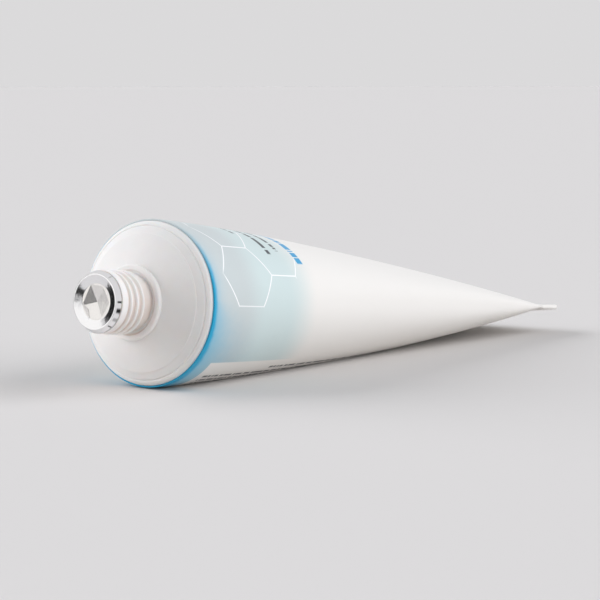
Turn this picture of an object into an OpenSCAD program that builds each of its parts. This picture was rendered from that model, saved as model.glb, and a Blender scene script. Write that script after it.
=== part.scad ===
// Squeeze tube of cream, lying on its side with the cap off and the neck closed by foil.
// The tube frame starts in the centre of the shoulder's rim, with +X towards the tail.
// The head frame is turned so that +Z points out of the neck.

/* [Sleeve] */
// Diameter of the sleeve where it meets the shoulder
tube_d = 30; // [26:1:42]
// Length of the sleeve from the rim to the end of the seal, along the tube's axis
sleeve_l = 110; // [85:1:160]
// Thickness of the laminate wall round the shoulder
film_t = 0.35; // [0.2:0.05:0.6]
// Length of the flat seal across the tail
seal_l = 7.5; // [5:0.5:14]
// Thickness of the flat seal
seal_t = 1.2; // [0.6:0.1:1.6]
// How long the sleeve stays round before it narrows, more is longer
fullness = 1.44; // [1.1:0.02:2]
// How bluntly the sleeve ends at the seal, less is blunter
bluntness = 0.7; // [0.6:0.02:1]

/* [Rest pose] */
// Roll of the tube about its axis, which sets the seal's far corner on the floor
roll = 6; // [2:1:12]
// Height of the rim above the floor, on which the soft belly flattens
rim_lift = 0.2; // [0.05:0.05:0.8]

/* [Shoulder] */
// Wall of the shoulder
shoulder_t = 1.1; // [0.7:0.1:1.5]
// Length of the skirt that the sleeve is welded to
skirt_l = 3; // [2:0.5:5]
// Slope of the shoulder's cone
cone_a = 22; // [15:1:30]
// Width of the sloping band between the cone and the rim
band_w = 2.25; // [1.8:0.05:3]
// Height of the band's inner edge in front of the rim
band_h = 1.8; // [1.5:0.05:2.4]
// Height of the small step between the band and the cone
step_h = 0.1; // [0.05:0.05:0.3]
// Radius of the shoulder's outer edge
edge_r = 0.9; // [0.5:0.1:1.2]
// Distance of the groove from the band's outer side
groove_in = 0.4; // [0.3:0.05:0.7]
// Depth of the round groove
groove_d = 0.15; // [0.1:0.05:0.25]

/* [Neck] */
// Diameter over the crest of the thread
thread_d = 11.3; // [10:0.1:13]
// Height of the thread above the neck
thread_h = 0.45; // [0.3:0.05:0.6]
// Pitch of the thread
thread_pitch = 1.53; // [1.3:0.01:1.7]
// Number of turns of the thread
thread_turns = 2.9; // [2:0.1:3.1]
// Distance from the collar's face to the start of the thread
thread_gap = 1.45; // [1.2:0.05:1.7]
// Length of the neck from the collar's face to its mouth
neck_l = 8.9; // [8.7:0.05:12]
// Bore of the neck
bore_d = 7.1; // [4:0.1:7.6]
// Diameter of the collar that the cap closes against
collar_d = 13.5; // [12:0.1:16]
// Thickness of the collar
collar_t = 1; // [0.5:0.05:1.3]
// Width of the recess in the collar's face round the neck, which clears the thread
relief_w = 0.6; // [0.5:0.05:0.8]
// Depth of that recess
relief_d = 0.25; // [0.1:0.05:0.35]
// Length of the plain band at the mouth
land_l = 1.5; // [1:0.1:1.8]
// Height of the plain band above the neck
land_h = 0.3; // [0.1:0.05:0.4]
// Taper of the neck's mouth under the foil
mouth_taper = 0.5; // [0.1:0.05:0.6]
// Width of the mouth's crest, from which it slopes in to the bore
crest_w = 0.25; // [0.1:0.05:0.4]
// Depth of that slope
mouth_drop = 0.45; // [0.2:0.05:0.6]

/* [Foil seal] */
// Thickness of the foil
foil_t = 0.15; // [0.1:0.01:0.25]
// Length of the foil's turned-down skirt
foil_skirt = 0.9; // [0.6:0.1:1.3]
// Distance of the foil's flat middle from the wall of the bore
dish_in = 0.3; // [0.2:0.05:0.6]
// Depth of the deepest dent in the middle
dent_depth = 0.55; // [0:0.05:0.9]

/* [Fits] */
// Gap of the weld between the sleeve and the head
weld_gap = 0.03; // [0.02:0.01:0.06]
// Gap between the foil's skirt and the neck
foil_gap = 0.05; // [0.03:0.01:0.1]
// Gap of the bond between the foil and the mouth
bond_gap = 0.03; // [0.02:0.01:0.06]

/* [Hidden] */

tube_r = tube_d / 2;
flat_half_w = PI * tube_r / 2;
body_l = sleeve_l - seal_l;
skirt_r = tube_r - film_t;
skirt_in_r = skirt_r - shoulder_t;
band_r = skirt_r - band_w;
cone_z = band_h + step_h;
collar_r = collar_d / 2;
collar_z = cone_z + (band_r - collar_r) * tan(cone_a) + collar_t;
bore_r = bore_d / 2;
thread_r = thread_d / 2;
neck_r = thread_r - thread_h;
land_r = neck_r + land_h;
mouth_z = collar_z + neck_l;
mouth_r = neck_r - mouth_taper;
crest_r = mouth_r - crest_w;
foil_r = mouth_r + foil_gap + foil_t;

// Points round one ring of the sleeve, rings along it, and how much they crowd towards the seal
ring_n = 64;
station_n = 34;
crowding = 1.5;
// Times that a search halves its range
halvings = 20;
// Exponent of a section, from an ellipse to a flat band: at the head, at the tail, and of the seal
head_power = 2;
tail_power = 3;
seal_power = 10;

// Height of the shoulder's inside at a radius
function inside_z(r) = cone_z + (band_r - r) * tan(cone_a) - shoulder_t / cos(cone_a);

// Half height and exponent of the body's section at a share u of its length
function half_h(u) = seal_t / 2 + (tube_r - seal_t / 2) * pow(1 - pow(u, fullness), bluntness);
function power_at(u) = head_power + (tail_power - head_power) * u * u;
function rounded(c, n) = sign(c) * pow(abs(c), 2 / n);

// Half width that keeps the girth of the round sleeve, found by halving the range
function sum(v) = v * [for (k = v) 1];
function quarter(w, h, n) = let (m = ring_n / 4, p = [for (i = [0:m]) let (a = 90 * i / m)
    [w * rounded(cos(a), n), h * rounded(sin(a), n)]]) sum([for (i = [1:m]) norm(p[i] - p[i - 1])]);
function half_w(h, n, lo = tube_r, hi = flat_half_w, k = halvings) =
    let (mid = (lo + hi) / 2)
    k == 0 ? mid
    : quarter(mid, h, n) < flat_half_w ? half_w(h, n, mid, hi, k - 1)
    : half_w(h, n, lo, mid, k - 1);

// One ring of points round the axis at x, from its half width, half height and exponent
function ring(x, w, h, n) =
    [for (i = [0:ring_n - 1])
        let (a = 360 * i / ring_n)
        [x, w * rounded(cos(a), n), h * rounded(sin(a), n)]];
function round_ring(x, r) = ring(x, r, r, 2);

// Outside of the sleeve: the tapering body, then the seal
body_rings = [for (k = [1:station_n])
    let (u = 1 - pow(1 - k / station_n, crowding), h = half_h(u), n = power_at(u))
    ring(u * body_l, half_w(h, n), h, n)];
// Rounded end of the seal, in shares of its thickness: how far out, and how thick there
seal_end = [[0, 1], [0.3, 0.9], [0.5, 0.45]];
seal_rings = [for (e = seal_end)
    let (out = e.x * seal_t)
    ring(sleeve_l - seal_t / 2 + out, flat_half_w - out, e.y * seal_t / 2, seal_power)];

// Inside of the sleeve: its contents fill the shoulder's hollow, and its front grips the skirt
corner = cos(180 / ring_n);
grip_r = (skirt_r + weld_gap) / corner;
hold_r = skirt_in_r - weld_gap;
inner_rings = [
    round_ring(weld_gap - inside_z(bore_r), bore_r),
    round_ring(weld_gap - inside_z(skirt_in_r), hold_r),
    round_ring(skirt_l + weld_gap, hold_r),
    round_ring(skirt_l + weld_gap, grip_r),
    round_ring(0, grip_r),
    round_ring(0, tube_r - film_t / 4),
    round_ring(film_t / 4, tube_r)
];

// The pose: a roll about the axis, then the axis leans towards the tail
function rolled(p) = [p.x, p.y * cos(roll) + p.z * sin(roll), p.z * cos(roll) - p.y * sin(roll)];
function leant(p, a) = [p.x * cos(a) + p.z * sin(a), p.y, p.z * cos(a) - p.x * sin(a)];
tail = [for (r = seal_rings) for (p = r) rolled(p)];
function tail_low(a) = min([for (p = tail) leant(p, a).z]);
function rim_low(a) = -tube_r * cos(a);
// Halves the range until the seal's corner and the lifted rim stand on one floor
function settle(lo, hi, k = halvings) =
    let (mid = (lo + hi) / 2)
    k == 0 ? mid
    : tail_low(mid) > rim_low(mid) - rim_lift ? settle(mid, hi, k - 1)
    : settle(lo, mid, k - 1);
most_lean = 20;
lean = settle(0, most_lean);
lift = -tail_low(lean);

// Brings the middle of the whole length over the origin
tail_x = max([for (p = tail) leant(p, lean).x]);
nose_x = -(mouth_z + bond_gap + foil_t) * cos(lean) - (foil_r - foil_t) * sin(lean);
shift = -(tail_x + nose_x) / 2;

function on_floor(p) = let (q = leant(rolled(p), lean)) [q.x + shift, q.y, max(0, q.z + lift)];

module in_pose() {
    translate([shift, 0, lift])
        rotate([0, lean, 0])
            rotate([-roll, 0, 0])
                rotate([0, -90, 0])
                    children();
}

// Closed skin through rings that mirror about their own flat axis
module skin(rings) {
    n = len(rings[0]);
    m = len(rings);
    walls = [for (k = [0:m - 2]) for (i = [0:n - 1])
        let (j = (i + 1) % n, a = k * n, b = a + n)
        each [[a + i, b + i, a + j], [a + j, b + i, b + j]]];
    // Each end is closed by strips between the upper and the lower half
    caps = [for (i = [0:n / 2 - 1])
        let (j = i + 1, p = (n - i) % n, q = n - j, e = (m - 1) * n)
        each concat(
            i == 0 ? [] : [[i, j, p], [e + j, e + i, e + p]],
            j == q ? [] : [[j, q, p], [e + q, e + j, e + p]])];
    polyhedron(points = [for (r = rings) each r], faces = concat(walls, caps));
}

module sleeve() {
    color("ghostwhite")
        skin([for (r = concat(inner_rings, body_rings, seal_rings)) [for (p = r) on_floor(p)]]);
}

// Section of the shoulder: skirt, rounded edge, band, step and cone, one wall thick
module shoulder_section() {
    edge_end = 60;
    edge_step = 15;
    edge = [for (a = [0:edge_step:edge_end]) [skirt_r - edge_r * (1 - cos(a)), edge_r * sin(a)]];
    band_at = edge[len(edge) - 1];
    band_slope = (band_h - band_at.y) / (band_at.x - band_r);
    difference() {
        polygon(concat(
            [[skirt_in_r, -skirt_l], [skirt_r, -skirt_l]],
            edge,
            [[band_r, band_h], [band_r, cone_z]],
            [[collar_r, collar_z - collar_t], [bore_r, collar_z - collar_t]],
            [[bore_r, inside_z(bore_r)], [skirt_in_r, inside_z(skirt_in_r)]]));
        translate(band_at + groove_in * [-1, band_slope])
            circle(r = groove_d, $fn = 24);
    }
}

// Section of the collar with its rounded edge, and the recess at the foot of the neck
module collar_section() {
    difference() {
        union() {
            translate([bore_r, collar_z - collar_t])
                square([collar_r - collar_t / 2 - bore_r, collar_t]);
            translate([collar_r - collar_t / 2, collar_z - collar_t / 2])
                circle(d = collar_t, $fn = 24);
        }
        translate([neck_r, collar_z - relief_d])
            square([relief_w, collar_t]);
    }
}

// Section of the neck, with the plain band behind the foil, and the mouth that slopes in to the bore
module neck_section() {
    foot_z = collar_z - collar_t;
    polygon([[bore_r, foot_z], [neck_r, foot_z], [neck_r, mouth_z - foil_skirt],
             [mouth_r, mouth_z], [crest_r, mouth_z], [bore_r, mouth_z - mouth_drop]]);
    translate([bore_r, mouth_z - foil_skirt - land_l])
        square([land_r - bore_r, land_l]);
}

// Round thread: a trapezoid carried along a right-handed helix, running out at both ends
module thread() {
    step_a = 10;
    run_out = 4;
    sunk = 0.3;
    root = 0.4 * thread_pitch;
    crest = 0.1 * thread_pitch;
    steps = floor(thread_turns * 360 / step_a);
    points = [for (i = [0:steps])
        let (a = step_a * i, h = thread_h * min(1, (i + 1) / run_out, (steps - i + 1) / run_out))
        each [for (s = [[-sunk, -root], [h, -crest], [h, crest], [-sunk, root]])
            let (r = neck_r + s.x)
            [r * cos(a), r * sin(a), thread_pitch * a / 360 + s.y]]];
    e = 4 * steps;
    translate([0, 0, collar_z + thread_gap])
        polyhedron(points = points, faces = concat(
            [[2, 1, 0], [3, 2, 0], [e, e + 1, e + 2], [e, e + 2, e + 3]],
            [for (i = [0:steps - 1]) for (j = [0:3]) let (a = 4 * i, k = (j + 1) % 4)
                each [[a + j, a + k, a + 4 + j], [a + k, a + 4 + k, a + 4 + j]]]));
}

module head() {
    color("white") in_pose() {
        rotate_extrude($fn = 96) {
            shoulder_section();
            collar_section();
            neck_section();
        }
        thread();
    }
}

// The foil's face from its middle out to its rim: radius, height, share of the dents
flat_r = bore_r - dish_in;
skirt_drop = foil_skirt - foil_t;
flat_n = 9;
foil_face = concat(
    [for (k = [1:flat_n]) [flat_r * k / flat_n, -mouth_drop, 1]],
    [[bore_r, -mouth_drop, 0.4], [crest_r, 0, 0], [foil_r - foil_t, 0, 0]]);
outer_face = concat(
    [for (p = foil_face) p + [0, foil_t, 0]],
    [[foil_r, 0, 0], [foil_r + mouth_taper, -skirt_drop, 0]]);
inner_face = concat(
    [[foil_r + mouth_taper - foil_t, -skirt_drop, 0]],
    [for (k = [len(foil_face) - 1:-1:0]) foil_face[k]]);

// Folded dents, each a pyramid pressed into the middle: its apex, the corners of its base, its share of
// the depth. Places are shares of the flat middle's radius, upwards and to the far side.
dents = [
    [[0, 0.07], [[0.95, 0.35], [-0.15, 1], [-0.8, 0.55], [-0.9, -0.35], [-0.1, -0.95], [0.8, -0.5]], 1],
    [[-0.42, 0.72], [[0, 1.05], [-0.95, 0.5], [-0.5, 0.35], [-0.1, 0.6]], 0.45]];
// Depth of a dent's pyramid at a point: 1 at the apex, and 0 on the edges of its base
function pyramid(p, apex, base) = let (n = len(base))
    max(0, 1 - max([for (i = [0:n - 1])
        let (b = base[i] - apex, c = base[(i + 1) % n] - apex, q = p - apex, e = c - b)
        (q.x * e.y - q.y * e.x) / (b.x * e.y - b.y * e.x)]));
function dent(p) = dent_depth * max([for (d = dents) d[2] * pyramid(p / flat_r, d[0], d[1])]);

module foil_seal() {
    round_n = 48;
    color("silver") in_pose() translate([0, 0, mouth_z + bond_gap])
        skin([for (p = concat(outer_face, inner_face))
            [for (i = [0:round_n - 1])
                let (a = -360 * i / round_n, x = p.x * cos(a), y = p.x * sin(a))
                [x, y, p.y - p.z * dent([x, y])]]]);
}

sleeve();
head();
foil_seal();
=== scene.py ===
import math
import bpy
import numpy as np
from mathutils import Matrix, Vector


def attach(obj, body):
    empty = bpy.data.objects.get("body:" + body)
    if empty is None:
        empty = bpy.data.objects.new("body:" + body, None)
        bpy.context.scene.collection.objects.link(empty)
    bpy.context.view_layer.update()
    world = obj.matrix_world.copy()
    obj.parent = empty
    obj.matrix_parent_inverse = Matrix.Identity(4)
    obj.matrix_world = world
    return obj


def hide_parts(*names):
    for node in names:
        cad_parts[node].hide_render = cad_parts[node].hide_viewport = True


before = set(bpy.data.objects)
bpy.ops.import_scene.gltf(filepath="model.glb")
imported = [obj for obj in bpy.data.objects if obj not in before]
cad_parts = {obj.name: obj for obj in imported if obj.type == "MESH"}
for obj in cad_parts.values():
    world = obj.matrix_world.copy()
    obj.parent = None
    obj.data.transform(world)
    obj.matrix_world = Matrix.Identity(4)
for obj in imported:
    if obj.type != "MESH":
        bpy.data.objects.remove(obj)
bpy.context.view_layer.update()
scene = bpy.context.scene
scene.view_settings.view_transform = "Standard"
mm = 0.001

# How the tube lies, in mm and degrees: it is rolled about its axis, and the axis leans down to the tail
pose = {
    "roll": 6.0,
    "lean": 6.407,
    "rimX": -47.449,   # centre of the shoulder's rim
    "rimZ": 15.106,
}

# Sizes shared by the sleeve, the head and the foil, in mm
tube = {
    "radius": 15.0,
    "length": 109.997,   # from the rim to the end of the seal
    "film": 0.35,
    "skirtLength": 3.0,
    "shoulderWall": 1.1,
    "bandInner": 12.4,   # radius where the sloping band meets the cone
    "coneFoot": 1.9,
    "coneSlope": 22.0,
    "boreRadius": 3.55,
    "neckRadius": 5.2,
    "mouthHeight": 14.083,
    "mouthDrop": 0.45,   # from the crest of the mouth down to the bore
    "gap": 0.03,
}
tube["skirtOuter"] = tube["radius"] - tube["film"]
tube["skirtInner"] = tube["skirtOuter"] - tube["shoulderWall"]
tube["girth"] = 2 * math.pi * tube["radius"]


# Tube frame to the row frame: x runs from the rim to the tail, y and z across it
def layDown(points):
    roll, lean = math.radians(pose["roll"]), math.radians(pose["lean"])
    x, y, z = points[..., 0], points[..., 1], points[..., 2]
    side = y * math.cos(roll) + z * math.sin(roll)
    up = z * math.cos(roll) - y * math.sin(roll)
    return np.stack([
        x * math.cos(lean) + up * math.sin(lean) + pose["rimX"],
        side,
        up * math.cos(lean) - x * math.sin(lean) + pose["rimZ"],
    ], axis=-1)


# Volume inside a closed mesh: a sixth of the sum of the triple products of its triangles
def signedVolume(points, quads, triangles):
    halves = np.concatenate([quads[:, [0, 1, 2]], quads[:, [0, 2, 3]], triangles])
    first, second, third = (points[halves[:, i]] for i in range(3))
    return float((first * np.cross(second, third)).sum() / 6)


# Makes an object from points in mm, with its faces turned outwards where they enclose a negative volume.
# Places are (u, v) for each corner of each face, and an attribute has a value for each point.
def makePiece(name, points, quads, triangles, quadPlaces=None, trianglePlaces=None, attributes=None):
    if signedVolume(points, quads, triangles) < 0:
        quads, triangles = quads[:, ::-1], triangles[:, ::-1]
        if quadPlaces is not None:
            quadPlaces, trianglePlaces = quadPlaces[:, ::-1], trianglePlaces[:, ::-1]
    mesh = bpy.data.meshes.new(name)
    corners = np.concatenate([quads.ravel(), triangles.ravel()]).astype(np.int32)
    sizes = np.concatenate([np.full(len(quads), 4), np.full(len(triangles), 3)]).astype(np.int32)
    mesh.vertices.add(len(points))
    mesh.vertices.foreach_set("co", (points * mm).astype(np.float32).ravel())
    mesh.loops.add(len(corners))
    mesh.loops.foreach_set("vertex_index", corners)
    mesh.polygons.add(len(sizes))
    mesh.polygons.foreach_set("loop_start", (np.cumsum(sizes) - sizes).astype(np.int32))
    mesh.update(calc_edges=True)
    if quadPlaces is not None:
        layer = mesh.uv_layers.new(name="surface")
        places = np.concatenate([quadPlaces.ravel(), trianglePlaces.ravel()])
        layer.data.foreach_set("uv", places.astype(np.float32))
    for label, values in (attributes or {}).items():
        mesh.attributes.new(label, "FLOAT", "POINT").data.foreach_set("value", values.astype(np.float32))
    mesh.polygons.foreach_set("use_smooth", np.ones(len(sizes), bool))
    mesh.validate()
    piece = bpy.data.objects.new(name, mesh)
    scene.collection.objects.link(piece)
    return piece


# Quads between the rows of a grid of points whose columns close round
def wrapFaces(rows, columns, closeRows=False):
    row = np.arange(rows if closeRows else rows - 1)
    below, above = row * columns, ((row + 1) % rows) * columns
    left = np.arange(columns)
    right = (left + 1) % columns
    corners = [below[:, None] + left, below[:, None] + right, above[:, None] + right, above[:, None] + left]
    return np.stack(corners, axis=-1).reshape(-1, 4)


arcStep = 12   # degrees of a rounded corner for each of its steps
mostCut = 0.45   # share of a straight that the rounding at one of its ends may take


# A chain of corners (along or radius, height, fillet): each inner corner becomes an arc that touches both
# of its straights, and the straights are cut to the step
def roundedOutline(corners, step):
    places = np.array([c[:2] for c in corners], float)
    pieces = [places[:1]]
    for before, here, after, corner in zip(places, places[1:], places[2:], corners[1:-1]):
        back, ahead = before - here, after - here
        backLength, aheadLength = np.linalg.norm(back), np.linalg.norm(ahead)
        back, ahead = back / backLength, ahead / aheadLength
        turn = math.pi - math.acos(float(np.clip(back @ ahead, -1, 1)))
        reach = min(corner[2] * math.tan(turn / 2), mostCut * backLength, mostCut * aheadLength)
        if reach < 1e-6:
            pieces.append(here[None])
            continue
        start, end = here + back * reach, here + ahead * reach
        radius = reach / math.tan(turn / 2)
        inward = (back + ahead) / np.linalg.norm(back + ahead)
        centre = here + inward * math.hypot(radius, reach)
        steps = max(3, int(math.degrees(turn) / arcStep))
        share = np.linspace(0, 1, steps + 1)[:, None]
        fromStart, fromEnd = np.sin((1 - share) * turn), np.sin(share * turn)
        pieces.append(centre + ((start - centre) * fromStart + (end - centre) * fromEnd) / math.sin(turn))
    pieces.append(places[-1:])
    chain = pieces[:1]
    for last, following in zip(pieces, pieces[1:]):
        start, end = last[-1], following[0]
        cuts = int(np.linalg.norm(end - start) / step)
        if cuts > 1:
            chain.append(start + (end - start) * (np.arange(1, cuts)[:, None] / cuts))
        chain.append(following)
    return np.concatenate(chain)


# Camera: which way it looks, in degrees, where the rim's centre falls in the picture, and how far off it is
view = {
    "azimuth": 35.884,
    "downwards": 6.565,
    "tilt": 0.142,
    "rimPixel": (148.36, 303.07),
    "rimDistance": 333.26,   # mm, along the view
    "lens": 112.627,
    "sensor": 36.0,
    "pictureSize": 600,
}


# Stands off from the rim's centre against the view, and aside by what the rim is off the picture's middle
def makeCamera():
    azimuth, downwards, tilt = (math.radians(view[k]) for k in ("azimuth", "downwards", "tilt"))
    level = math.cos(downwards)
    ahead = Vector((math.cos(azimuth) * level, math.sin(azimuth) * level, -math.sin(downwards)))
    side = Vector((math.sin(azimuth), -math.cos(azimuth), 0))
    under = ahead.cross(side)
    right = side * math.cos(tilt) + under * math.sin(tilt)
    under = ahead.cross(right)
    rim = Vector((pose["rimX"], 0, pose["rimZ"]))
    perPixel = view["sensor"] / view["lens"] / view["pictureSize"] * view["rimDistance"]
    across, below = ((p - view["pictureSize"] / 2) * perPixel for p in view["rimPixel"])
    place = (rim - right * across - under * below - ahead * view["rimDistance"]) * mm
    data = bpy.data.cameras.new("camera")
    data.lens = view["lens"]
    data.sensor_width = view["sensor"]
    data.clip_start = 0.01
    camera = bpy.data.objects.new("camera", data)
    turn = Matrix((right, -under, -ahead)).transposed()
    camera.matrix_world = Matrix.Translation(place) @ turn.to_4x4()
    scene.collection.objects.link(camera)
    scene.camera = camera


makeCamera()
print("camera made")


# Node helpers: a socket or a plain number may be given for each input
def put(tree, socket, value):
    if isinstance(value, bpy.types.NodeSocket):
        tree.links.new(value, socket)
    else:
        socket.default_value = value


def calc(tree, operation, *values, clamp=False):
    node = tree.nodes.new("ShaderNodeMath")
    node.operation = operation
    node.use_clamp = clamp
    for socket, value in zip(node.inputs, values):
        put(tree, socket, value)
    return node.outputs[0]


def blendColours(tree, factor, first, second):
    node = tree.nodes.new("ShaderNodeMix")
    node.data_type = "RGBA"
    put(tree, node.inputs["Factor"], factor)
    put(tree, node.inputs[6], first)
    put(tree, node.inputs[7], second)
    return node.outputs[2]


def noise(tree, vector, scale, detail=2.0, roughness=0.5):
    node = tree.nodes.new("ShaderNodeTexNoise")
    put(tree, node.inputs["Vector"], vector)
    put(tree, node.inputs["Scale"], scale)
    node.inputs["Detail"].default_value = detail
    node.inputs["Roughness"].default_value = roughness
    return node.outputs["Fac"]


def rampBetween(tree, value, low, high):
    node = tree.nodes.new("ShaderNodeMapRange")
    node.interpolation_type = "SMOOTHSTEP"
    put(tree, node.inputs["Value"], value)
    put(tree, node.inputs["From Min"], low)
    put(tree, node.inputs["From Max"], high)
    return node.outputs[0]


# 1 within the half width on either side of a centre, 0 beyond it, with a soft edge
def nearTo(tree, value, centre, halfWidth, soft):
    away = calc(tree, "ABSOLUTE", calc(tree, "SUBTRACT", value, centre))
    return calc(tree, "SUBTRACT", 1.0, rampBetween(tree, away, halfWidth - soft, halfWidth + soft))


def multiply(tree, *values):
    product = values[0]
    for value in values[1:]:
        product = calc(tree, "MULTIPLY", product, value)
    return product


def stretched(tree, vector, scale):
    node = tree.nodes.new("ShaderNodeVectorMath")
    node.operation = "MULTIPLY"
    put(tree, node.inputs[0], vector)
    node.inputs[1].default_value = scale
    return node.outputs[0]


# A screen colour from 0 to 255, turned linear by the sRGB curve
def colour(red, green, blue):
    shares = [c / 255 for c in (red, green, blue)]
    linear = [c / 12.92 if c <= 0.04 else ((c + 0.055) / 1.055) ** 2.4 for c in shares]
    return (*linear, 1.0)


def newMaterial(name):
    material = bpy.data.materials.new(name)
    material.use_nodes = True
    tree = material.node_tree
    shader = tree.nodes["Principled BSDF"]
    return material, tree, shader


def newGroup(name, inputs, outputs):
    group = bpy.data.node_groups.new(name, "ShaderNodeTree")
    for label, kind in inputs:
        group.interface.new_socket(label, in_out="INPUT", socket_type=kind)
    for label, kind in outputs:
        group.interface.new_socket(label, in_out="OUTPUT", socket_type=kind)
    return group, group.nodes.new("NodeGroupInput"), group.nodes.new("NodeGroupOutput")


def useGroup(tree, group, **values):
    node = tree.nodes.new("ShaderNodeGroup")
    node.node_tree = group
    for label, value in values.items():
        put(tree, node.inputs[label], value)
    return node.outputs[0]


def attribute(tree, name):
    node = tree.nodes.new("ShaderNodeAttribute")
    node.attribute_name = name
    return node.outputs["Fac"]


def objectPlace(tree):
    return tree.nodes.new("ShaderNodeTexCoord").outputs["Object"]


# Heights are in metres
def bumpFrom(tree, shader, height):
    node = tree.nodes.new("ShaderNodeBump")
    node.inputs["Distance"].default_value = 1.0
    put(tree, node.inputs["Height"], height)
    tree.links.new(node.outputs[0], shader.inputs["Normal"])


# Grain: height in metres of a fine unevenness with broad shallow waves under it
def makeGrain():
    group, start, end = newGroup("surface_grain", [
        ("Place", "NodeSocketVector"), ("FineDepth", "NodeSocketFloat"), ("WaveDepth", "NodeSocketFloat"),
        ("WaveScale", "NodeSocketFloat")], [("Height", "NodeSocketFloat")])
    fine = noise(group, start.outputs["Place"], 2600.0, 3.0, 0.6)
    wave = noise(group, start.outputs["Place"], start.outputs["WaveScale"], 1.5, 0.4)
    height = calc(group, "ADD", calc(group, "MULTIPLY", fine, start.outputs["FineDepth"]),
                  calc(group, "MULTIPLY", wave, start.outputs["WaveDepth"]))
    put(group, end.inputs["Height"], height)
    return group


# Scuffs: thin short marks gathered in patches
def makeScuffs():
    group, start, end = newGroup("handling_scuffs", [
        ("Place", "NodeSocketVector"), ("Amount", "NodeSocketFloat")], [("Mask", "NodeSocketFloat")])
    marks = [noise(group, stretched(group, start.outputs["Place"], scale), 1.0, 4.0, 0.65)
             for scale in ((420, 2400, 2400), (2400, 500, 2400), (1900, 1900, 420))]
    thin = calc(group, "MAXIMUM", calc(group, "MAXIMUM", marks[0], marks[1]), marks[2])
    patches = rampBetween(group, noise(group, start.outputs["Place"], 130.0, 2.0), 0.42, 0.66)
    mask = multiply(group, rampBetween(group, thin, 0.64, 0.74), patches, start.outputs["Amount"])
    put(group, end.inputs["Mask"], mask)
    return group


# Creases: height in metres of sharp folds between flat facets
def makeCreases():
    group, start, end = newGroup("pressed_creases", [
        ("Place", "NodeSocketVector"), ("Scale", "NodeSocketFloat"), ("Depth", "NodeSocketFloat")],
        [("Height", "NodeSocketFloat")])
    cells = group.nodes.new("ShaderNodeTexVoronoi")
    cells.feature = "F1"
    put(group, cells.inputs["Vector"], start.outputs["Place"])
    put(group, cells.inputs["Scale"], start.outputs["Scale"])
    height = calc(group, "MULTIPLY", cells.outputs["Distance"], start.outputs["Depth"])
    put(group, end.inputs["Height"], height)
    return group


# Honeycomb: lines between six-sided cells, with two sides of each cell along the Along axis
def makeHoneycomb():
    group, start, end = newGroup("honeycomb_lines", [
        ("Across", "NodeSocketFloat"), ("Along", "NodeSocketFloat"), ("Side", "NodeSocketFloat"),
        ("HalfLine", "NodeSocketFloat")], [("Mask", "NodeSocketFloat")])
    side = start.outputs["Side"]
    halfCell = calc(group, "MULTIPLY", side, math.sqrt(0.75))
    cells = []
    for shift in (0.0, 0.5):
        places = []
        for label, period in (("Across", 2 * math.sqrt(0.75)), ("Along", 3.0)):
            period = calc(group, "MULTIPLY", side, period)
            offset = calc(group, "MULTIPLY", period, shift)
            turn = calc(group, "WRAP", calc(group, "ADD", start.outputs[label], offset),
                        calc(group, "MULTIPLY", period, 0.5), calc(group, "MULTIPLY", period, -0.5))
            places.append(calc(group, "ABSOLUTE", turn))
        across, along = places
        slanted = calc(group, "MULTIPLY_ADD", along, math.sqrt(0.75), calc(group, "MULTIPLY", across, 0.5))
        cells.append(calc(group, "MAXIMUM", across, slanted))
    inside = calc(group, "SUBTRACT", halfCell, calc(group, "MINIMUM", *cells))
    sharp, soft = (calc(group, "MULTIPLY", start.outputs["HalfLine"], share) for share in (0.6, 1.4))
    put(group, end.inputs["Mask"], calc(group, "SUBTRACT", 1.0, rampBetween(group, inside, sharp, soft)))
    return group


grain, scuffs, creases, honeycomb = makeGrain(), makeScuffs(), makeCreases(), makeHoneycomb()


# Sleeve: a film of constant girth, round at the rim and flat at the seal
sleeve = {
    "sealLength": 7.5,
    "sealThickness": 1.2,
    "fullness": 1.44,   # how long the sleeve stays round, more is longer
    "bluntness": 0.7,   # how bluntly it ends at the seal, less is blunter
    "tailPower": 3.0,   # exponent of the section before the seal, 2 is an ellipse
    "sealPower": 10.0,
    "sideClearance": 0.015,   # taken off the seal on each side
    "around": 288,
    "along": 230,
    "crowding": 1.5,   # of the rings towards the seal
    "sealRings": 15,
    "insideStep": 1.2,
}


# Half height of the body at a share u of its length: the seal's half thickness, plus the rest times
# (1 - u^fullness)^bluntness
def bodyHalfHeight(u):
    seal = sleeve["sealThickness"] / 2
    return seal + (tube["radius"] - seal) * (1 - u ** sleeve["fullness"]) ** sleeve["bluntness"]


# Points round superellipses |y/w|^n + |z/h|^n = 1, from the bottom up the near side, for arrays of the half
# width w, the half height h and the exponent n
def superellipses(halfWidth, halfHeight, power, angles):
    across, up = -np.sin(angles), -np.cos(angles)
    spread = 2 / power[:, None]
    y = halfWidth[:, None] * np.sign(across) * np.abs(across) ** spread
    z = halfHeight[:, None] * np.sign(up) * np.abs(up) ** spread
    return y, z


# Half widths that give each section the girth of the round sleeve, found by halving
def halfWidths(halfHeight, power):
    low = np.full(len(halfHeight), tube["radius"])
    high = np.full(len(halfHeight), tube["girth"] / 4)
    quarter = np.linspace(0, math.pi / 2, 60)
    for _ in range(24):
        middle = (low + high) / 2
        y, z = superellipses(middle, halfHeight, power, quarter)
        length = np.hypot(np.diff(y), np.diff(z)).sum(axis=1)
        wide = length > tube["girth"] / 4
        high = np.where(wide, middle, high)
        low = np.where(wide, low, middle)
    return low


# Height of the shoulder's inside at a radius: that of its cone, less the wall as measured along the axis
def insideHeight(radius):
    slope = math.radians(tube["coneSlope"])
    cone = tube["coneFoot"] + (tube["bandInner"] - radius) * math.tan(slope)
    return cone - tube["shoulderWall"] / math.cos(slope)


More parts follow.
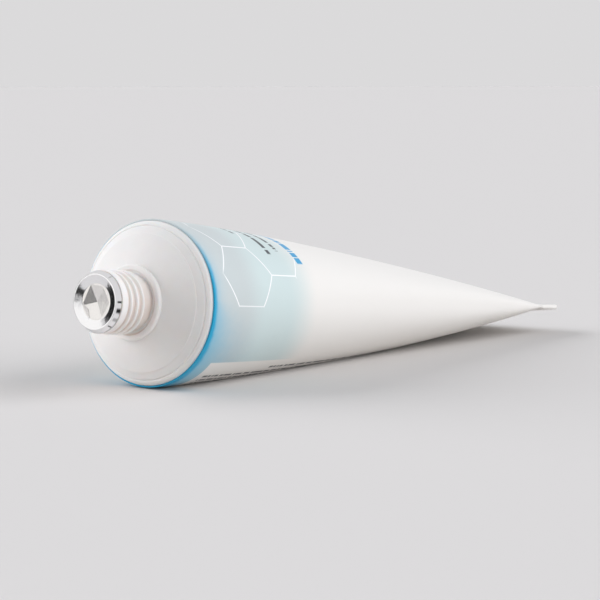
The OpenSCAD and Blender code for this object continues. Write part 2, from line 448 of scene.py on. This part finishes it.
# Rings along the axis, each with its half width, half height and exponent: first the inside round the
# head's skirt, then the body by the three formulas above, then the seal with its rounded end
def makeSleeve():
    gap, skirt, film = tube["gap"], tube["skirtLength"], tube["film"]
    hold, grip = tube["skirtInner"] - gap, tube["skirtOuter"] + gap
    rim = tube["radius"]
    inner = roundedOutline([
        (gap - insideHeight(tube["boreRadius"]), tube["boreRadius"], 0),
        (gap - insideHeight(tube["skirtInner"]), hold, 0.1),
        (skirt + gap, hold, 0.05),
        (skirt + gap, grip, 0.05),
        (0, grip, 0.03),
        (0, rim, 0.1),
        (film, rim, 0),
    ], sleeve["insideStep"])
    share = np.linspace(0, 1, sleeve["along"] + 1)[1:]
    u = 1 - (1 - share) ** sleeve["crowding"]
    u = np.maximum(u, film / tube["length"] * 2)
    halfHeight, power = bodyHalfHeight(u), 2 + (sleeve["tailPower"] - 2) * u * u
    bodyLength = tube["length"] - sleeve["sealLength"]
    seal, back = sleeve["sealThickness"] / 2, sleeve["sealThickness"]
    flat, flatRings = tube["girth"] / 4 - sleeve["sideClearance"], sleeve["sealRings"]
    sealX = np.concatenate([
        np.linspace(bodyLength, tube["length"] - back / 2, flatRings + 1)[1:],
        tube["length"] + back * np.array([-0.3, -0.2, -0.1, 0])])
    sealH = seal * np.concatenate([np.ones(flatRings), [0.97, 0.86, 0.7, 0.45]])
    sealW = flat - np.concatenate([np.zeros(flatRings), back * np.array([0.2, 0.3, 0.4, 0.5])])
    x = np.concatenate([inner[:, 0], u * bodyLength, sealX])
    width = np.concatenate([inner[:, 1], halfWidths(halfHeight, power), sealW])
    height = np.concatenate([inner[:, 1], halfHeight, sealH])
    power = np.concatenate([np.full(len(inner), 2.0), power, np.full(len(sealX), sleeve["sealPower"])])
    # Each ring is cut to equal lengths of film, so that a column keeps its place in the print
    dense = np.linspace(0, 2 * math.pi, 1441)
    y, z = superellipses(width, height, power, dense)
    steps = np.hypot(np.diff(y), np.diff(z))
    reach = np.concatenate([np.zeros((len(x), 1)), np.cumsum(steps, axis=1)], axis=1)
    reach /= reach[:, -1:]
    cuts = np.arange(sleeve["around"]) / sleeve["around"]
    ringY = np.stack([np.interp(cuts, r, row) for r, row in zip(reach, y)])
    ringZ = np.stack([np.interp(cuts, r, row) for r, row in zip(reach, z)])
    points = layDown(np.stack([np.repeat(x[:, None], sleeve["around"], 1), ringY, ringZ], axis=-1))
    points[..., 2] = np.maximum(points[..., 2], 0)
    rows, columns = points.shape[:2]
    faces = wrapFaces(rows, columns)
    row, column = np.divmod(np.arange((rows - 1) * columns), columns)
    along = x / tube["length"]
    uv = np.stack([
        np.stack([(column + c) / columns, along[row + r]], axis=-1)
        for r, c in ((0, 0), (0, 1), (1, 1), (1, 0))], axis=1)
    # Both ends are closed by strips between mirrored halves
    half = np.arange(1, columns // 2 - 1)
    strip = np.stack([half, half + 1, columns - half - 1, columns - half], axis=-1)
    tips = np.array([[0, 1, columns - 1], [columns // 2 - 1, columns // 2, columns // 2 + 1]])
    tail = (rows - 1) * columns
    quads = np.concatenate([faces, strip[:, ::-1], strip + tail])
    triangles = np.concatenate([tips[:, ::-1], tips + tail])
    ends = np.repeat([along[0], along[-1]], len(strip) * 4)
    quadPlaces = np.concatenate([uv, np.stack([np.zeros_like(ends), ends], axis=-1).reshape(-1, 4, 2)])
    tipEnds = np.repeat([along[0], along[-1]], 6)
    trianglePlaces = np.stack([np.zeros_like(tipEnds), tipEnds], axis=-1).reshape(-1, 3, 2)
    return makePiece("sleeve_film", points.reshape(-1, 3), quads, triangles, quadPlaces, trianglePlaces)


sleeveFilm = makeSleeve()
print("sleeve made:", len(sleeveFilm.data.polygons), "faces")


# Head: one moulding, revolved round +Z out of the neck
head = {
    "edgeRadius": 0.9,
    "bandTop": 1.8,
    "grooves": ((13.8, 0.15, 0.15), (14.2, 0.07, 0.03)),   # in the band: radius, half width, depth
    "collarRadius": 6.75,
    "collarFace": 5.183,
    "collarThickness": 1.0,
    "recessWidth": 0.6,
    "recessDepth": 0.25,
    "landRadius": 5.5,
    "landLength": 1.5,
    "mouthTaper": 0.5,
    "crestWidth": 0.25,
    "mouthEdge": 0.9,   # length of the taper under the foil
    "threadHeight": 0.45,
    "threadPitch": 1.53,
    "threadTurns": 2.9,
    "threadStart": 1.45,
    "threadFoot": 0.29,   # half width of the ridge, in shares of the pitch
    "threadCrest": 0.08,
    "runOut": 40.0,   # degrees over which the thread rises and falls
    # Side where the painted shade in the thread and the recess is deepest
    "paintedShadeSide": 215.0,   # degrees from the top to the far side
    "around": 256,
    "step": 0.35,
    "neckStep": 0.07,
    "bandStep": 0.05,
    "insideStep": 0.7,
}


# Head frame (+Z out of the neck) to the row frame
def headPoints(radius, height, angle):
    return layDown(np.stack([-height, radius * np.sin(angle), radius * np.cos(angle)], axis=-1))


# Height of the thread at a height and an angle: a rounded ridge along height = start + pitch * turns, which
# runs out at both ends
def threadRise(height, angle):
    turns = (height - head["collarFace"] - head["threadStart"]) / head["threadPitch"] - angle / (2 * math.pi)
    nearest = np.round(turns)
    offset = np.abs(turns - nearest)
    along = nearest + angle / (2 * math.pi)
    runOut = head["runOut"] / 360
    fade = np.clip(np.minimum(along + runOut, head["threadTurns"] + runOut - along) / runOut, 0, 1)
    flank = np.clip((head["threadFoot"] - offset) / (head["threadFoot"] - head["threadCrest"]), 0, 1)
    return head["threadHeight"] * fade * flank * flank * (3 - 2 * flank)


# An outline of the wall, turned round the axis: radius and height for each row, an angle for each column.
# The thread is added to the radius on the neck.
def makeHead():
    wall, slope = tube["shoulderWall"], math.radians(tube["coneSlope"])
    outer, inner, bore, neck = tube["skirtOuter"], tube["skirtInner"], tube["boreRadius"], tube["neckRadius"]
    band, foot, mouth = tube["bandInner"], tube["coneFoot"], tube["mouthHeight"]
    edge = head["edgeRadius"]
    # The band leaves the edge's arc at 60 degrees
    arcEnd = (outer - edge * (1 - math.cos(math.radians(60))), edge * math.sin(math.radians(60)))
    bandSlope = (head["bandTop"] - arcEnd[1]) / (arcEnd[0] - band)
    edgeCorner = arcEnd[1] - bandSlope * (outer - arcEnd[0])
    collar, face = head["collarRadius"], head["collarFace"]
    under = face - head["collarThickness"]
    landTop = mouth - head["mouthEdge"]
    landFoot = landTop - head["landLength"]
    recess = neck + head["recessWidth"]
    shoulder = roundedOutline([
        (inner, -tube["skirtLength"], 0),
        (outer, -tube["skirtLength"], 0.2),
        (outer, edgeCorner, edge),
        (band, head["bandTop"], 0.06),
        (band, foot, 0.05),
        (collar - 0.15, under + 0.06, 0.05),
        (collar, under + 0.2, 0.25),
        (collar, face, 0.45),
        (recess, face, 0.05),
        (recess, face - head["recessDepth"], 0.05),
        (neck, face - head["recessDepth"], 0),
    ], head["step"])
    neckSide = roundedOutline([
        (neck, face - head["recessDepth"], 0),
        (neck, landFoot, 0.1),
        (head["landRadius"], landFoot, 0.1),
        (head["landRadius"], landTop, 0.1),
        (neck, landTop, 0.05),
        (neck - head["mouthTaper"], mouth, 0.1),
        (neck - head["mouthTaper"] - head["crestWidth"], mouth, 0.05),
        (bore + 0.01, mouth - tube["mouthDrop"], 0),
    ], head["neckStep"])
    inside = roundedOutline([
        (bore, mouth - tube["mouthDrop"] - 0.01, 0),
        (bore, insideHeight(bore), 0.15),
        (inner, insideHeight(inner), 0.15),
        (inner, 0.2 - tube["skirtLength"], 0),
    ], head["insideStep"])
    # The band has closer rows than the rest, for its grooves
    reach = np.append(0, np.cumsum(np.hypot(*np.diff(shoulder, axis=0).T)))
    out, up = shoulder.T
    sloping = reach[(out > band + 0.3) & (out < arcEnd[0] + 0.1) & (up > 0.3)]
    cuts = np.union1d(reach, np.arange(sloping.min(), sloping.max(), head["bandStep"]))
    shoulder = np.stack([np.interp(cuts, reach, places) for places in (out, up)], axis=-1)
    outline = np.concatenate([shoulder, neckSide[1:], inside])
    radius, height = outline[:, 0].copy(), outline[:, 1].copy()
    # Grooves are pressed into the band along its own normal
    tilt = math.atan(bandSlope)
    onBand = (radius > band + 0.3) & (height > 0.3)
    for place, halfWidth, depth in head["grooves"]:
        away = (radius - place) / math.cos(tilt) / halfWidth
        dip = depth * np.exp(-away ** 2) * onBand
        radius -= dip * math.sin(tilt)
        height -= dip * math.cos(tilt)
    angle = np.arange(head["around"]) * 2 * math.pi / head["around"]
    radius, height = (np.repeat(values[:, None], head["around"], 1) for values in (radius, height))
    threaded = (np.abs(radius - neck) < 1e-4) & (height > face) & (height < landFoot)
    rise = np.where(threaded, threadRise(height, angle[None, :]), 0)
    points = headPoints(radius + rise, height, angle[None, :])
    rows, columns = points.shape[:2]
    # Painted shade: a warm tan darkening is painted into the thread's valleys and into the recess, strongest
    # low on the near side
    low = 0.5 + 0.5 * np.cos(angle - math.radians(head["paintedShadeSide"]))[None, :]
    sunk = (radius > neck + 0.02) & (radius < recess) & (height < face - 0.02) & (height > under)
    painted_shade = np.where(threaded, (1 - rise / head["threadHeight"]) * (0.25 + 0.75 * low), 0)
    painted_shade = np.where(sunk, 0.35 + 0.9 * low, painted_shade)
    quads = wrapFaces(rows, columns, closeRows=True)
    none = np.zeros((0, 3), int)
    marks = {"painted_shade": painted_shade.ravel()}
    return makePiece("head_moulding", points.reshape(-1, 3), quads, none, attributes=marks)


headMoulding = makeHead()
print("head made:", len(headMoulding.data.polygons), "faces")


# Foil: a thin disc over the mouth, pressed into it, with folded dents in the middle and a turned-down skirt
foil = {
    "thickness": 0.15,
    "bond": 0.02,
    "gap": 0.05,
    "skirt": 0.9,
    "flatIn": 0.3,   # from the wall of the bore to where the dents end
    "ease": 0.38,   # how far the outer face's slope spreads beyond the mouth's
    "dentDepth": 0.55,
    # Each dent: apex, corners of its base, share of the depth. Places are upwards and to the far side.
    "dents": (
        ((0, 0.07), ((0.95, 0.35), (-0.15, 1), (-0.8, 0.55), (-0.9, -0.35), (-0.1, -0.95), (0.8, -0.5)), 1),
        ((-0.42, 0.72), ((0, 1.05), (-0.95, 0.5), (-0.5, 0.35), (-0.1, 0.6)), 0.45)),
    "dentSharpness": 16.0,   # of the folds between a dent's facets
    "crinkle": 0.045,
    # Each fold of the skirt: degrees from the top to the far side, half width, share of depth, share of the
    # painted dark reflection and shade put in it
    "folds": (
        (14, 5, 0.4, 0), (52, 3, 0.9, 0.9), (78, 6, 0.5, 0), (103, 4, 0.7, 0.2), (131, 5, 0.4, 0),
        (158, 3, 0.8, 0), (186, 4, 0.5, 0), (213, 3, 0.9, 0.9), (231, 7, 0.9, 0.5), (250, 9, 1.0, 1.0),
        (267, 3.5, 0.8, 1.0), (281, 4, 0.9, 0), (303, 5, 0.6, 0), (322, 3, 0.7, 0.2), (343, 5, 0.5, 0)),
    "around": 360,
    "step": 0.045,
    "insideStep": 0.15,
}


# Share of a pyramid's depth at places (up, far): 1 at the apex and 0 at the edges of its base. The distances
# to its facets are summed as powers, which rounds the folds between them.
def pyramid(up, far, apex, base):
    away = np.zeros_like(up)
    for first, second in zip(base, base[1:] + base[:1]):
        startUp, startFar = first[0] - apex[0], first[1] - apex[1]
        edgeUp, edgeFar = second[0] - first[0], second[1] - first[1]
        share = (up - apex[0]) * edgeFar - (far - apex[1]) * edgeUp
        share = share / (startUp * edgeFar - startFar * edgeUp)
        away += np.clip(share, 0, None) ** foil["dentSharpness"]
    return np.clip(1 - away ** (1 / foil["dentSharpness"]), 0, None)


# An outline of the pressed disc, turned round the axis: radius and height for each row, an angle for each
# column. The dents are taken from the height in the middle, the folds from the radius at the skirt.
def makeFoil():
    mouthRadius = tube["neckRadius"] - head["mouthTaper"]
    crest, bore = mouthRadius - head["crestWidth"], tube["boreRadius"]
    thickness, sunk = foil["thickness"], -tube["mouthDrop"]
    edge = mouthRadius + foil["gap"] + thickness
    flatRadius = bore - foil["flatIn"]
    drop = foil["skirt"] - thickness
    flare = edge + head["mouthTaper"]
    outer = roundedOutline([
        (0.03, sunk + thickness, 0),
        (bore - foil["ease"], sunk + thickness, 0.5),
        (crest + foil["ease"] / 2, thickness, 0.3),
        (edge - 0.02, thickness, 0.15),
        (flare, -drop, 0),
    ], foil["step"])
    inner = roundedOutline([
        (flare - thickness, -drop, 0),
        (edge - thickness, 0, 0.05),
        (crest, 0, 0.05),
        (bore, sunk, 0.05),
        (0.03, sunk, 0),
    ], foil["insideStep"])
    outline = np.concatenate([outer, inner])
    radius, height = outline[:, 0][:, None], outline[:, 1][:, None]
    angle = (np.arange(foil["around"]) * 2 * math.pi / foil["around"])[None, :]
    up, far = radius * np.cos(angle), radius * np.sin(angle)
    dent = np.zeros_like(up)
    for apex, base, share in foil["dents"]:
        dent = np.maximum(dent, share * pyramid(up / flatRadius, far / flatRadius, apex, base))
    middle = np.clip((bore + 0.05 - radius) / (foil["flatIn"] + 0.05), 0, 1)
    sink = foil["dentDepth"] * dent * middle
    # The skirt is folded more and more towards its edge, always inwards
    folds, painted_dark = np.zeros_like(angle), np.zeros_like(angle)
    for at, halfWidth, share, darkShare in foil["folds"]:
        away = (np.degrees(angle) - at + 180) % 360 - 180
        dip = np.clip(1.4 - np.abs(away) / halfWidth, 0, 1)
        folds = np.maximum(folds, share * dip * dip * (3 - 2 * dip))
        painted_dark = np.maximum(painted_dark, darkShare * np.clip(1.5 - 2 * np.abs(away) / halfWidth, 0, 1))
    hanging = np.clip((thickness - height) / foil["skirt"], 0, 1) * (radius > crest + 0.1)
    pressed = radius - foil["crinkle"] * folds * hanging
    top = tube["mouthHeight"] + foil["bond"]
    points = headPoints(pressed, top + height - sink, angle + 0 * radius)
    rows, columns = points.shape[:2]
    quads = wrapFaces(rows, columns)
    # The two middles are closed by fans round a point
    centres = points[[0, -1]].mean(axis=1)
    column = np.arange(columns)
    nextColumn = (column + 1) % columns
    last = (rows - 1) * columns
    front = np.stack([nextColumn, column, np.full(columns, rows * columns)], axis=-1)
    back = np.stack([last + column, last + nextColumn, np.full(columns, rows * columns + 1)], axis=-1)
    everyPoint = np.concatenate([points.reshape(-1, 3), centres])
    satin = np.clip((bore - foil["ease"] + 0.1 - radius) / 0.15, 0, 1) + 0 * angle
    # Painted dark reflection and shade: a near-black mark in the deep folds, only towards the skirt's edge
    painted_dark = painted_dark * np.clip(hanging * 6 - 1.2, 0, 1)
    marks = {
        "satin": np.concatenate([satin.ravel(), [1, 1]]),
        "painted_dark": np.concatenate([painted_dark.ravel(), [0, 0]]),
    }
    return makePiece("foil_disc", everyPoint, quads, np.concatenate([front, back]), attributes=marks)


foilDisc = makeFoil()
print("foil made:", len(foilDisc.data.polygons), "faces")


# Print of the sleeve: colours, and places in mm along it from the rim and up round it from the near side
printing = {
    "white": (242, 238, 232),
    "aqua": (209, 223, 221),
    "greyBlue": (202, 209, 208),
    "deepBlue": (8, 162, 204),
    "lightBlue": (112, 188, 216),
    "lineWhite": (252, 252, 251),
    "ink": (52, 56, 62),
    "inkBlue": (0, 156, 208),
    "scuffed": (205, 200, 196),
    "aquaFrom": (8.0, 15.0),   # the field turns from grey blue to aqua
    "whiteFrom": (22.5, 31.5),   # and fades out
    "blueReach": (1.5, 8.0),   # of the light blue from the rim: above, and how much more below
    "deepEdge": (1.1, 0.1),
    "cellSide": 6.8,
    "cellAt": (4.84, 10.2),
    "lineHalf": 0.12,
    "panelHalf": 11.3,
    "panelAlong": (4.5, 85.0),
    # Bars round the tube: along, half thickness, from, to, ink
    "bars": (
        (15.5, 0.4, 16.0, 34.0, "ink"), (19.5, 0.5, 9.6, 36.0, "ink"), (22.6, 0.42, 10.6, 36.0, "ink"),
        (27.0, 0.8, 7.6, 38.0, "inkBlue")),
    # Bars along the panel: distance from the bottom line, half thickness, from, to
    "panelBars": (
        (8.9, 0.34, 24.0, 64.0), (7.0, 0.34, 6.5, 74.0), (5.4, 0.34, 6.5, 78.0), (3.8, 0.34, 6.5, 70.0),
        (2.2, 0.34, 6.5, 76.0), (-0.6, 0.34, 6.5, 52.0)),
}


# Gaps of uneven length along a bar, so that it reads as a broken line
def brokenUp(tree, position, seed):
    node = tree.nodes.new("ShaderNodeTexNoise")
    node.noise_dimensions = "1D"
    put(tree, node.inputs["W"], calc(tree, "ADD", position, seed))
    node.inputs["Scale"].default_value = 1.3
    node.inputs["Detail"].default_value = 1.0
    return rampBetween(tree, node.outputs["Fac"], 0.4, 0.43)


def sleeveLook():
    material, tree, shader = newMaterial("printed_laminate")
    place = tree.nodes.new("ShaderNodeUVMap")
    place.uv_map = "surface"
    split = tree.nodes.new("ShaderNodeSeparateXYZ")
    tree.links.new(place.outputs[0], split.inputs[0])
    share, along = split.outputs[0], calc(tree, "MULTIPLY", split.outputs[1], tube["length"])
    girth = tube["girth"]
    up = calc(tree, "MULTIPLY_ADD", share, girth, -girth / 4)
    bottom = calc(tree, "WRAP", calc(tree, "MULTIPLY", share, girth), girth / 2, -girth / 2)
    sine = calc(tree, "SINE", calc(tree, "DIVIDE", up, tube["radius"]))
    patchy = noise(tree, objectPlace(tree), 700.0, 3.0)
    # The blue at the rim is thin on the near side, fades out upwards and reaches further below
    below = calc(tree, "MAXIMUM", calc(tree, "MULTIPLY", sine, -1.0), 0.0)
    above, more = printing["blueReach"]
    reach = calc(tree, "MULTIPLY_ADD", below, more, above)
    uneven = calc(tree, "MULTIPLY", along, calc(tree, "MULTIPLY_ADD", patchy, 0.5, 0.75))
    fall = calc(tree, "POWER", calc(tree, "DIVIDE", uneven, reach), 1.3)
    blue = calc(tree, "EXPONENT", multiply(tree, fall, -1.0))
    blue = multiply(tree, blue, rampBetween(tree, sine, 1.05, -0.15), 0.9)
    # A narrow deep band runs along the rim itself
    deep = rampBetween(tree, calc(tree, "MULTIPLY_ADD", below, -0.8, uneven), *printing["deepEdge"])
    deep = multiply(tree, deep, rampBetween(tree, sine, 1.0, 0.1))
    turned = rampBetween(tree, along, *printing["aquaFrom"])
    field = blendColours(tree, turned, colour(*printing["greyBlue"]), colour(*printing["aqua"]))
    wander = calc(tree, "MULTIPLY_ADD", noise(tree, objectPlace(tree), 60.0, 2.0), 3.0, along)
    tint = calc(tree, "SUBTRACT", 1.0, rampBetween(tree, wander, *printing["whiteFrom"]))
    tone = blendColours(tree, tint, colour(*printing["white"]), field)
    cells = useGroup(tree, honeycomb, Across=calc(tree, "SUBTRACT", up, printing["cellAt"][0]),
                     Along=calc(tree, "SUBTRACT", along, printing["cellAt"][1]),
                     Side=printing["cellSide"], HalfLine=printing["lineHalf"])
    # The cells start above the panel and near the rim, and those that are furthest along are cut off
    started = multiply(tree, rampBetween(tree, up, -1.3, -0.9), rampBetween(tree, along, 3.0, 4.2))
    kept = calc(tree, "MAXIMUM", rampBetween(tree, along, 24.1, 23.8), rampBetween(tree, up, 4.6, 4.8))
    shown = multiply(tree, cells, started, rampBetween(tree, along, 30.0, 24.0), kept)
    tone = blendColours(tree, shown, tone, colour(*printing["lineWhite"]))
    tone = blendColours(tree, blue, tone, colour(*printing["lightBlue"]))
    tone = blendColours(tree, deep, tone, colour(*printing["deepBlue"]))
    low, high = printing["panelAlong"]
    panel = multiply(tree, nearTo(tree, bottom, 0.0, printing["panelHalf"], 0.12),
                     nearTo(tree, along, (low + high) / 2, (high - low) / 2, 0.12))
    tone = blendColours(tree, panel, tone, colour(*printing["white"]))
    for index, (at, half, low, high, ink) in enumerate(printing["bars"]):
        length = nearTo(tree, up, (low + high) / 2, (high - low) / 2, 0.2)
        broken = brokenUp(tree, up, 31.7 * index)
        bar = multiply(tree, nearTo(tree, along, at, half, 0.12), length, broken, 0.95)
        tone = blendColours(tree, bar, tone, colour(*printing[ink]))
    for index, (at, half, low, high) in enumerate(printing["panelBars"]):
        length = nearTo(tree, along, (low + high) / 2, (high - low) / 2, 0.2)
        broken = brokenUp(tree, along, 17.3 * index + 5)
        bar = multiply(tree, nearTo(tree, bottom, at, half, 0.1), length, broken, 0.95)
        tone = blendColours(tree, bar, tone, colour(*printing["ink"]))
    worn = useGroup(tree, scuffs, Place=objectPlace(tree), Amount=0.5)
    tone = blendColours(tree, calc(tree, "MULTIPLY", worn, 0.12), tone, colour(*printing["scuffed"]))
    put(tree, shader.inputs["Base Color"], tone)
    rough = calc(tree, "MULTIPLY_ADD", patchy, 0.1, calc(tree, "MULTIPLY_ADD", worn, 0.2, 0.3))
    put(tree, shader.inputs["Roughness"], rough)
    height = useGroup(tree, grain, Place=objectPlace(tree), FineDepth=0.000004, WaveDepth=0.00022,
                      WaveScale=55.0)
    bumpFrom(tree, shader, height)
    return material


# White plastic of the head, which lets a little light in, with painted shade in its thread and recess
plastic = {
    "shade": (238, 234, 230),
    "pale": (243, 239, 235),
    # warm tan of the painted shade in the thread and the recess
    "paintedShadeTan": (198, 166, 142),
    "scuffed": (196, 192, 190),
    "roughness": 0.36,
    "subsurface": 0.35,
}


def plasticLook():
    material, tree, shader = newMaterial("white_plastic")
    # Painted shade: a warm tan is mixed in where the head's mark is high, in the thread's valleys and the
    # recess
    paintedShadeRamp = rampBetween(tree, attribute(tree, "painted_shade"), 0.15, 1.15)
    patchy = noise(tree, objectPlace(tree), 420.0, 3.0)
    worn = useGroup(tree, scuffs, Place=objectPlace(tree), Amount=1.0)
    paintedShadeShare = multiply(tree, paintedShadeRamp, calc(tree, "MULTIPLY_ADD", patchy, 0.6, 0.5), 0.55)
    tone = blendColours(tree, patchy, colour(*plastic["shade"]), colour(*plastic["pale"]))
    tone = blendColours(tree, paintedShadeShare, tone, colour(*plastic["paintedShadeTan"]))
    tone = blendColours(tree, calc(tree, "MULTIPLY", worn, 0.18), tone, colour(*plastic["scuffed"]))
    put(tree, shader.inputs["Base Color"], tone)
    put(tree, shader.inputs["Roughness"], calc(tree, "MULTIPLY_ADD", worn, 0.25, plastic["roughness"]))
    shader.inputs["Subsurface Weight"].default_value = plastic["subsurface"]
    shader.inputs["Subsurface Radius"].default_value = (1.0, 0.7, 0.55)
    shader.inputs["Subsurface Scale"].default_value = 0.0012
    height = useGroup(tree, grain, Place=objectPlace(tree), FineDepth=0.000005, WaveDepth=0.00003,
                      WaveScale=160.0)
    bumpFrom(tree, shader, height)
    return material


# Bright metal in linear colours: satin in the pressed middle, and a near-black painted dark reflection and
# shade in the skirt's deepest folds
metal = {
    "bright": (0.95, 0.95, 0.96, 1),
    "satin": (0.93, 0.91, 0.89, 1),
    "brushed": (0.7, 0.68, 0.66, 1),
    # near-black of the painted dark reflection and shade in the folds
    "painted_dark": (0.03, 0.03, 0.03, 1),
    "roughness": 0.08,
    "satinRoughness": 0.13,   # added in the middle
}


def foilLook():
    material, tree, shader = newMaterial("foil")
    satin = attribute(tree, "satin")
    brushed = noise(tree, stretched(tree, objectPlace(tree), (9000.0, 9000.0, 900.0)), 1.0, 3.0, 0.6)
    tone = blendColours(tree, satin, metal["bright"], metal["satin"])
    tone = blendColours(tree, multiply(tree, satin, brushed, 0.25), tone, metal["brushed"])
    # Painted dark reflection and shade in the skirt's folds
    tone = blendColours(tree, attribute(tree, "painted_dark"), tone, metal["painted_dark"])
    put(tree, shader.inputs["Base Color"], tone)
    shader.inputs["Metallic"].default_value = 1
    plain = calc(tree, "MULTIPLY_ADD", brushed, 0.08, metal["roughness"])
    rough = calc(tree, "MULTIPLY_ADD", satin, metal["satinRoughness"], plain)
    put(tree, shader.inputs["Roughness"], rough)
    folds = useGroup(tree, creases, Place=objectPlace(tree), Scale=900.0, Depth=0.00001)
    lines = multiply(tree, brushed, satin, 0.000008)
    bumpFrom(tree, shader, calc(tree, "ADD", folds, lines))
    return material


for piece, node, slot, look in (
        (sleeveFilm, "sleeve", "printed_laminate", sleeveLook()),
        (headMoulding, "head", "white_plastic", plasticLook()),
        (foilDisc, "foil_seal", "foil", foilLook())):
    piece.data.materials.append(look)
    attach(piece, "root")
    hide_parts(node)
print("looks made")


# Stage: a pale floor far larger than the picture, and cards beside and before the neck, which only the shiny
# surfaces show: three dark ones and a light one
stage = {
    "reach": 30.0,
    "floor": (0.672, 0.645, 0.62, 1),
    "roughness": 0.9,
    "far": (0.709, 0.702, 0.709, 1),   # the tone beyond the floor, like the lit floor
    "dark": (0.01, 0.01, 0.01, 1),
    "light": (0.97, 0.96, 0.95, 1),
    "darkCards": (   # corners in m
        ((-0.085, 0.052, 0.0), (-0.056, 0.052, 0.0), (-0.056, 0.052, 0.05), (-0.085, 0.052, 0.05)),
        ((-0.15, 0.018, 0.0), (-0.145, 0.046, 0.0), (-0.145, 0.046, 0.026), (-0.15, 0.018, 0.026)),
        ((-0.3, 0.0, 0.0004), (-0.15, 0.006, 0.0004), (-0.15, 0.045, 0.0004), (-0.3, 0.08, 0.0004))),
    "lightCard": ((-0.336, 0.047, 0.0), (-0.196, 0.247, 0.0), (-0.196, 0.247, 0.2), (-0.336, 0.047, 0.2)),
}


# One face between four corners, for the stage, with a plain material of its own
def makeFlat(name, corners, tone, roughness):
    mesh = bpy.data.meshes.new(name)
    mesh.from_pydata(corners, [], [(0, 1, 2, 3)])
    piece = bpy.data.objects.new(name, mesh)
    scene.collection.objects.link(piece)
    material, _, shader = newMaterial(name)
    shader.inputs["Base Color"].default_value = tone
    shader.inputs["Roughness"].default_value = roughness
    shader.inputs["Specular IOR Level"].default_value = 0
    mesh.materials.append(material)
    return piece, shader


def makeStage():
    reach = stage["reach"]
    corners = [(-reach, -reach, 0), (reach, -reach, 0), (reach, reach, 0), (-reach, reach, 0)]
    makeFlat("floor", corners, stage["floor"], stage["roughness"])
    for index, corners in enumerate((*stage["darkCards"], stage["lightCard"])):
        card, shader = makeFlat("card_%d" % index, corners, stage["dark"], 1.0)
        if corners is stage["lightCard"]:
            shader.inputs["Emission Color"].default_value = stage["light"]
            shader.inputs["Emission Strength"].default_value = 1.0
        card.visible_camera = False
        card.visible_diffuse = False
        card.visible_shadow = False


makeStage()


# Lights: a wide low one from the picture's left, a wide higher one from its right, and a level all round
lamps = {
    "left": {"towards": (-0.33, 0.9, 0.35), "angle": 55.0, "strength": 3.0},
    "right": {"towards": (0.45, -0.75, 0.5), "angle": 55.0, "strength": 2.1},
}
surroundStrength = 0.44
lightTint = (0.965, 0.99, 1.045)


def makeLights():
    for name, lamp in lamps.items():
        data = bpy.data.lights.new(name, "SUN")
        data.angle = math.radians(lamp["angle"])
        data.energy = lamp["strength"]
        data.color = lightTint
        light = bpy.data.objects.new(name, data)
        light.matrix_world = Vector(lamp["towards"]).to_track_quat("Z", "Y").to_matrix().to_4x4()
        light.visible_glossy = False
        scene.collection.objects.link(light)
    world = bpy.data.worlds.new("surround")
    world.use_nodes = True
    tree = world.node_tree
    background = tree.nodes["Background"]
    background.inputs["Color"].default_value = (*lightTint, 1)
    background.inputs["Strength"].default_value = surroundStrength
    # The camera and the shiny surfaces see the tone of the lit floor instead
    far = tree.nodes.new("ShaderNodeBackground")
    far.inputs["Color"].default_value = stage["far"]
    rays = tree.nodes.new("ShaderNodeLightPath")
    seen = calc(tree, "MAXIMUM", rays.outputs["Is Camera Ray"], rays.outputs["Is Glossy Ray"])
    mixed = tree.nodes.new("ShaderNodeMixShader")
    tree.links.new(seen, mixed.inputs[0])
    tree.links.new(background.outputs[0], mixed.inputs[1])
    tree.links.new(far.outputs[0], mixed.inputs[2])
    tree.links.new(mixed.outputs[0], tree.nodes["World Output"].inputs["Surface"])
    scene.world = world


makeLights()
print("stage and lights made")
